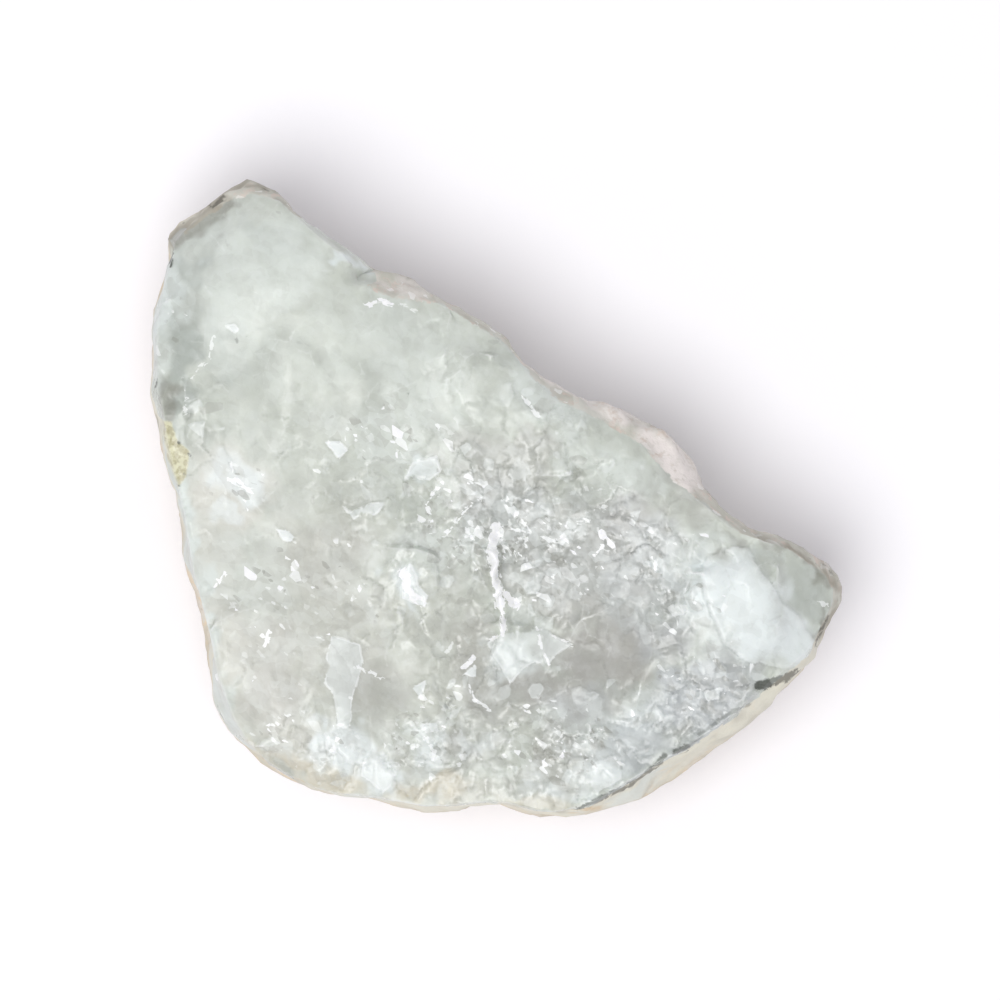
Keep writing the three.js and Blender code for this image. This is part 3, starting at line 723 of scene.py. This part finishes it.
class Value:
    """A socket that a sum can be written with: each sum adds its own node."""

    def __init__(self, finish, socket):
        self.finish, self.socket = finish, socket

    def sum(self, operation, *values):
        return self.finish.node("Math", {"operation": operation}, dict(enumerate(values)))

    def __add__(self, other):
        return self.sum("ADD", self, other)

    __radd__ = __add__

    def __sub__(self, other):
        return self.sum("SUBTRACT", self, other)

    def __rsub__(self, other):
        return self.sum("SUBTRACT", other, self)

    def __mul__(self, other):
        return self.sum("MULTIPLY", self, other)

    __rmul__ = __mul__

    def at_most(self, other):
        return self.sum("MINIMUM", self, other)

    def at_least(self, other):
        return self.sum("MAXIMUM", self, other)

    def swing(self, reach):
        """How far it is from its middle, made larger or smaller."""
        return (self - MIDDLE) * reach


class Finish:
    """A material that is written as expressions."""

    def __init__(self, name):
        self.material = bpy.data.materials.new(name)
        self.material.use_nodes = True
        self.tree = self.material.node_tree
        self.tree.nodes.clear()

    def node(self, kind, settings=None, sockets=None, give=0):
        """Any node: its kind, settings, its sockets' values or links, and the output to give."""
        made = self.tree.nodes.new("ShaderNode" + kind)
        for name, setting in (settings or {}).items():
            setattr(made, name, setting)
        for name, value in (sockets or {}).items():
            socket = made.inputs[name]
            if isinstance(value, Value):
                self.tree.links.new(value.socket, socket)
            else:
                if socket.type == "RGBA" and len(value) == 3:
                    value = (*value, 1)
                socket.default_value = value
        return Value(self, made.outputs[give]) if made.outputs else None

    def blend(self, share, under, over):
        """One colour over another, by a share."""
        return self.node("Mix", {"data_type": "RGBA"},
                         {MIX_SHARE: share, MIX_UNDER: under, MIX_OVER: over},
                         give=MIX_COLOUR)

    def rise(self, value, start, full, low=0.0, high=1.0):
        """A smooth rise from low to high, while a value goes from start to full."""
        return self.node("MapRange", {"interpolation_type": "SMOOTHSTEP"},
                         {"Value": value, "From Min": start, "From Max": full,
                          "To Min": low, "To Max": high})

    def coat(self, under, colour, value, start, full, strength):
        """A colour over another where a value has gone from start to full."""
        return self.blend(self.rise(value, start, full) * strength, under, colour)

    def vector(self, operation, *values):
        return self.node("VectorMath", {"operation": operation}, dict(enumerate(values)))

    def cloud(self, place, wavelength, detail, roughness, give=0):
        """Soft noise round the middle, or its colour output as a direction."""
        return self.node("TexNoise", {},
                         {"Vector": place, "Scale": 1 / wavelength, "Detail": detail,
                          "Roughness": roughness}, give)

    def chances(self, place, size, turn, stretch):
        """Three chance values for each of many angular cells of a size."""
        along = self.node("Mapping", {}, {"Vector": place, "Rotation": (0, 0, turn),
                                          "Scale": (1, stretch, 1)})
        cells = self.node("TexVoronoi", {}, {"Vector": along, "Scale": 1 / size}, give="Color")
        parts = self.node("SeparateColor", {}, {"Color": cells}).socket.node
        return [Value(self, part) for part in parts.outputs]

    def painted(self, name):
        """What the mesh holds under a name: how much of a patch or mark is at a place."""
        return self.node("Attribute", {"attribute_name": name}, give=ATTRIBUTE_VALUE)

    def bump(self, height, strength, distance):
        return self.node("Bump", {}, {"Height": height, "Strength": strength,
                                      "Distance": distance * MM})

    def made_of(self, surface):
        """The material, with its surface."""
        self.node("OutputMaterial", {}, {"Surface": surface})
        return self.material


class StoneFinish(Finish):
    """Milky quartz on the fresh break, and a skin and an older break round it."""

    def __init__(self):
        super().__init__("quartz_and_skin")
        self.place = self.node("VectorMath", {"operation": "SCALE"},
                               {"Vector": self.node("TexCoord", give="Object"),
                                "Scale": 1 / MM})
        torn = self.cloud(self.place, wavelength=1.5, detail=2, roughness=0.65, give="Color")
        torn = self.vector("MULTIPLY", self.vector("SUBTRACT", torn, MIDDLE_COLOUR), TEAR)
        self.ragged = self.vector("ADD", self.place, torn)
        self.curdled = self.cloud(self.ragged, wavelength=2.6, detail=3, roughness=0.6)
        self.fine = self.cloud(self.place, wavelength=0.9, detail=2, roughness=0.7)
        self.nest = self.rise(self.cloud(self.place, wavelength=4.2, detail=1, roughness=0.6),
                              start=0.42, full=0.68)
        self.skin_cloud = self.cloud(self.place, wavelength=5.0, detail=3, roughness=0.65)
        self.spots = self.cloud(self.place, wavelength=1.7, detail=3, roughness=0.7)
        self.chip, self.broken, _ = self.chances(self.ragged, size=0.8, turn=0.2, stretch=1.4)
        self.jagged = self.chip.swing(0.32) + self.fine.swing(0.4)
        self.outside = self.painted("past_rim")
        self.calm = self.painted("calm")
        self.sparkling = self.painted("sparkling")
        self.seam = (self.rise(self.painted("dark_line") + self.jagged, start=0.0, full=0.3)
                     * self.painted("dark_line_strength"))

    def clouds(self):
        """Cloudy quartz: soft clouds under patches of colour."""
        soft = self.cloud(self.place, wavelength=6.0, detail=3, roughness=0.6)
        quartz = self.blend(self.rise(soft, start=0.3, full=0.7), *CLOUDY)
        blots = 0.7 + 0.6 * (self.curdled - 0.3)
        for name, tint in TINTS.items():
            quartz = self.blend((self.painted(name) * blots).at_most(1), quartz, tint)
        return quartz

    def broken_faces(self, quartz):
        """Flakes and facets, each with its own tone, powder where the break is crushed, a painted
        highlight on sharp edges and painted shade in creases.
        """
        tone, edge = self.painted("flake_tone"), self.painted("edge")
        on_flake = self.rise(self.painted("flake"), start=-0.05, full=0.04)
        quartz = self.blend(on_flake * tone.at_least(0), quartz, MILKY)
        quartz = self.blend(on_flake * (0 - tone).at_least(0), quartz, WINDOW)
        strength = 0.08 + 0.2 * self.sparkling
        for size, turn in FACET_CELLS:
            facet, _, _ = self.chances(self.ragged, size, turn, FACET_STRETCH)
            quartz = self.coat(quartz, MILKY, facet, start=0.5, full=1.0, strength=strength)
            quartz = self.coat(quartz, WINDOW, facet, start=0.5, full=0.0, strength=strength)
        veil = 0.3 * (1 - 0.6 * self.calm)
        powdery = 0.04 + 0.25 * self.painted("crushed")
        for colour, value, start, full, strength in (
                (CURD, self.curdled, 0.48, 0.7, veil),
                (CLEAR, self.curdled, 0.48, 0.28, veil),
                (POWDER, self.fine, 0.5, 0.7, powdery),
                # Painted highlight on sharp edges, painted shade in creases.
                (EDGE_HIGHLIGHT, edge, 0.15, 0.6, 0.2),
                (CREASE_SHADE, edge, -0.15, -0.6, 0.15)):
            quartz = self.coat(quartz, colour, value, start, full, strength)
        return quartz

    def glints(self, quartz):
        """Painted highlights of small angular glints, and painted shade in small pits, in nests
        where the break sparkles.
        """
        density = (0.02 + 0.98 * self.sparkling) * (0.2 + 0.8 * self.nest)
        for size, turn, share in GLINT_CELLS:
            first, second, third = self.chances(self.place, size, turn, GLINT_STRETCH)
            quartz = self.coat(quartz, PIT_SHADE, share * PIT_SHADE_SHARE * density - first,
                               start=0.0, full=0.01, strength=0.4)
            quartz = self.coat(quartz, PAINTED_GLINT, share * density - second,
                               start=0.0, full=0.01, strength=0.25 + 0.75 * third * third)
        return quartz

    def marks(self, quartz):
        """Stains, painted highlights on flake edges, white crests that are partly milky quartz and
        partly painted highlight, and dark seams and specks.
        """
        stain = self.blend(self.rise(self.fine, start=0.4, full=0.62), *STAINED)
        quartz = self.coat(quartz, stain, self.painted("stain") + self.curdled.swing(0.8),
                           start=0, full=0.4, strength=0.8)

        flake = self.painted("flake")
        # Painted highlight along the outlines of whiter flakes.
        flake_edge_highlight = (self.rise(flake + self.jagged * 0.5, start=-0.12, full=-0.06)
                  * self.rise(flake, start=0.2, full=0.12)
                  * self.rise(self.painted("flake_tone"), start=0.4, full=0.6)
                  * self.rise(self.chip + self.nest * 0.3, start=0.35, full=0.45))
        quartz = self.blend(flake_edge_highlight * 0.4, quartz, PAINTED_GLINT)

        # White crests: partly milky quartz, partly a painted highlight.
        strength = self.painted("white_line_strength")
        crest_highlight = (self.rise(self.painted("white_line") + self.jagged * 1.4, start=0.0, full=0.1)
                 * self.rise(self.broken + strength, start=0.94, full=1.0))
        quartz = self.blend(crest_highlight * strength, quartz, PAINTED_GLINT)
        return self.blend(self.seam, quartz, SEAM)

    def crystal(self):
        """Milky quartz, in which light scatters."""
        roughness = (self.rise(self.curdled, start=0.38, full=0.62, low=0.24, high=0.42)
                     + 0.12 * self.calm)
        return self.node("BsdfPrincipled", {"subsurface_method": "RANDOM_WALK"}, {
            "Base Color": self.marks(self.glints(self.broken_faces(self.clouds()))),
            "Roughness": roughness,
            "IOR": QUARTZ_IOR,
            "Subsurface Weight": SCATTER_WEIGHT,
            "Subsurface Radius": SCATTER_COLOUR,
            "Subsurface Scale": SCATTER * MM,
        })

    def skin(self):
        """The round skin: cream near the break, then peach and ochre, darker at the back."""
        skin = self.blend(self.rise(self.skin_cloud, start=0.35, full=0.65), *BUFF)
        for colour, value, start, full, strength in (
                (PEACH, self.spots, 0.5, 0.62, 0.8),
                (BROWN, self.spots, 0.44, 0.34, 0.4),
                (TAN, self.outside, 8.0, 22.0, 0.5),
                (CREAM, self.outside, 10.0, 3.0, 0.85)):
            skin = self.coat(skin, colour, value, start, full, strength)
        skin = self.blend(self.painted("ochre"), skin, OCHRE)
        skin = self.blend(self.painted("frosty") * 0.9, skin, TINTS["frosty"])
        return self.blend(self.painted("green") * 0.8, skin, TINTS["green"])

    def old_faces(self):
        """The older break: grey, with pink and rusty spots, dull small faces and painted glints."""
        rust = self.cloud(self.place, wavelength=9.0, detail=2, roughness=0.6)
        rusty = self.rise(rust, start=0.5, full=0.64) * self.rise(self.outside, start=1.5, full=7.0)
        face, _, _ = self.chances(self.ragged, size=2.6, turn=0.4, stretch=1.3)
        # Cells that get a painted glint highlight.
        _, glint, _ = self.chances(self.ragged, size=1.1, turn=0.9, stretch=1.7)
        old = self.blend(self.rise(self.skin_cloud, start=0.35, full=0.6), *GREY)
        old = self.coat(old, PINK, self.spots, start=0.52, full=0.64, strength=0.7)
        old = self.blend(rusty * 0.6, old, RUST)
        for colour, value, start, full, strength in (
                (LIGHT_FACE, face, 0.55, 1.0, 0.22),
                (DARK_FACE, face, 0.45, 0.0, 0.18),
                (PAINTED_GLINT, glint, 0.93, 0.95, 0.5),
                (ROSY, self.spots, 0.75, 0.45, self.painted("rosy"))):
            old = self.coat(old, colour, value, start, full, strength)
        return old

    def rind(self):
        """Skin and older break, with their pores."""
        colour = self.blend(self.painted("old_break"), self.skin(), self.old_faces())
        colour = self.blend(self.painted("umber") * 0.9, colour, UMBER)
        pores = self.cloud(self.place, wavelength=0.8, detail=3, roughness=0.7)
        return self.node("BsdfPrincipled", {}, {
            "Base Color": self.blend(self.seam, colour, SKIN_SEAM),
            "Roughness": SKIN_ROUGHNESS,
            "IOR": SKIN_IOR,
            "Normal": self.bump(pores, SKIN_BUMP_STRENGTH, SKIN_BUMP),
        })

    def whole(self):
        """The quartz up to a ragged border, and the rind past it."""
        ragged_border = (self.spots.swing(1.2)
                         + self.skin_cloud.swing(1.6 * self.outside.at_least(0)))
        border = self.rise(self.outside + ragged_border - 6.0 * self.painted("bare"),
                           start=0.0, full=0.25)
        return self.made_of(self.node("MixShader", {}, {0: border, 1: self.crystal(),
                                                        2: self.rind()}))


def table_finish():
    table = Finish("white_table")
    surface = table.node("BsdfDiffuse", {}, {"Color": seen(*TABLE_COLOUR)})
    return table.made_of(surface)


# ---- The scene ----


def added(name, shape, finish):
    """An object in the scene, with a shape and its finish."""
    mesh = bpy.data.meshes.new(name)
    shape.to_mesh(mesh)
    shape.free()
    mesh.materials.append(finish)
    made = bpy.data.objects.new(name, mesh)
    bpy.context.scene.collection.objects.link(made)
    return made


def placed(name, data, place, turn):
    """A light or a camera in the scene, at a place in millimetres."""
    made = bpy.data.objects.new(name, data)
    made.location = Vector(place) * MM
    made.rotation_mode = "QUATERNION"
    made.rotation_quaternion = turn
    bpy.context.scene.collection.objects.link(made)
    return made


rim_radius = bearing_reader(rim_line(RIM))
rim_height = bearing_reader(rim_heights(
    [vertex.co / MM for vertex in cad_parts[STONE].data.vertices]))
calm_ovals = [(strength, oval_reader(*oval)) for strength, *oval in PATCHES["calm"]]

stone = added("quartz_geode", dressed_stone(), StoneFinish().whole())
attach(stone, "root")
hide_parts(STONE)

table_shape = bmesh.new()
bmesh.ops.create_grid(table_shape, x_segments=1, y_segments=1, size=TABLE_HALF)
table = added("table", table_shape, table_finish())
table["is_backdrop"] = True

sky = bpy.data.worlds.new("sky")
bpy.context.scene.world = sky
sky.use_nodes = True
background = sky.node_tree.nodes["Background"].inputs
background["Color"].default_value = (*seen(*SKY_COLOUR), 1)
background["Strength"].default_value = SKY

key_light = bpy.data.lights.new("key", "AREA")
key_light.shape = "DISK"
key_light.size = KEY_SIZE * MM
key_light.energy = KEY_POWER
placed("key", key_light, KEY_PLACE,
       (Vector(KEY_AIM) - Vector(KEY_PLACE)).to_track_quat("-Z", "Y"))

lens = bpy.data.cameras.new("camera")
lens.sensor_width = SENSOR_WIDTH
lens.lens = lens.sensor_width * (CAMERA_HEIGHT - VIEW_MIDDLE[2]) / VIEW_WIDTH
lens.clip_start, lens.clip_end = CLIP
bpy.context.scene.camera = placed(
    "camera", lens, (*VIEW_MIDDLE[:2], CAMERA_HEIGHT),
    Matrix.Rotation(math.radians(VIEW_TURN), 3, "Z").to_quaternion())

bpy.context.scene.view_settings.view_transform = "Standard"

({name: [list(corner) for corner in box]
           for name, box in (("solid", solid_box), ("dressed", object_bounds()))})
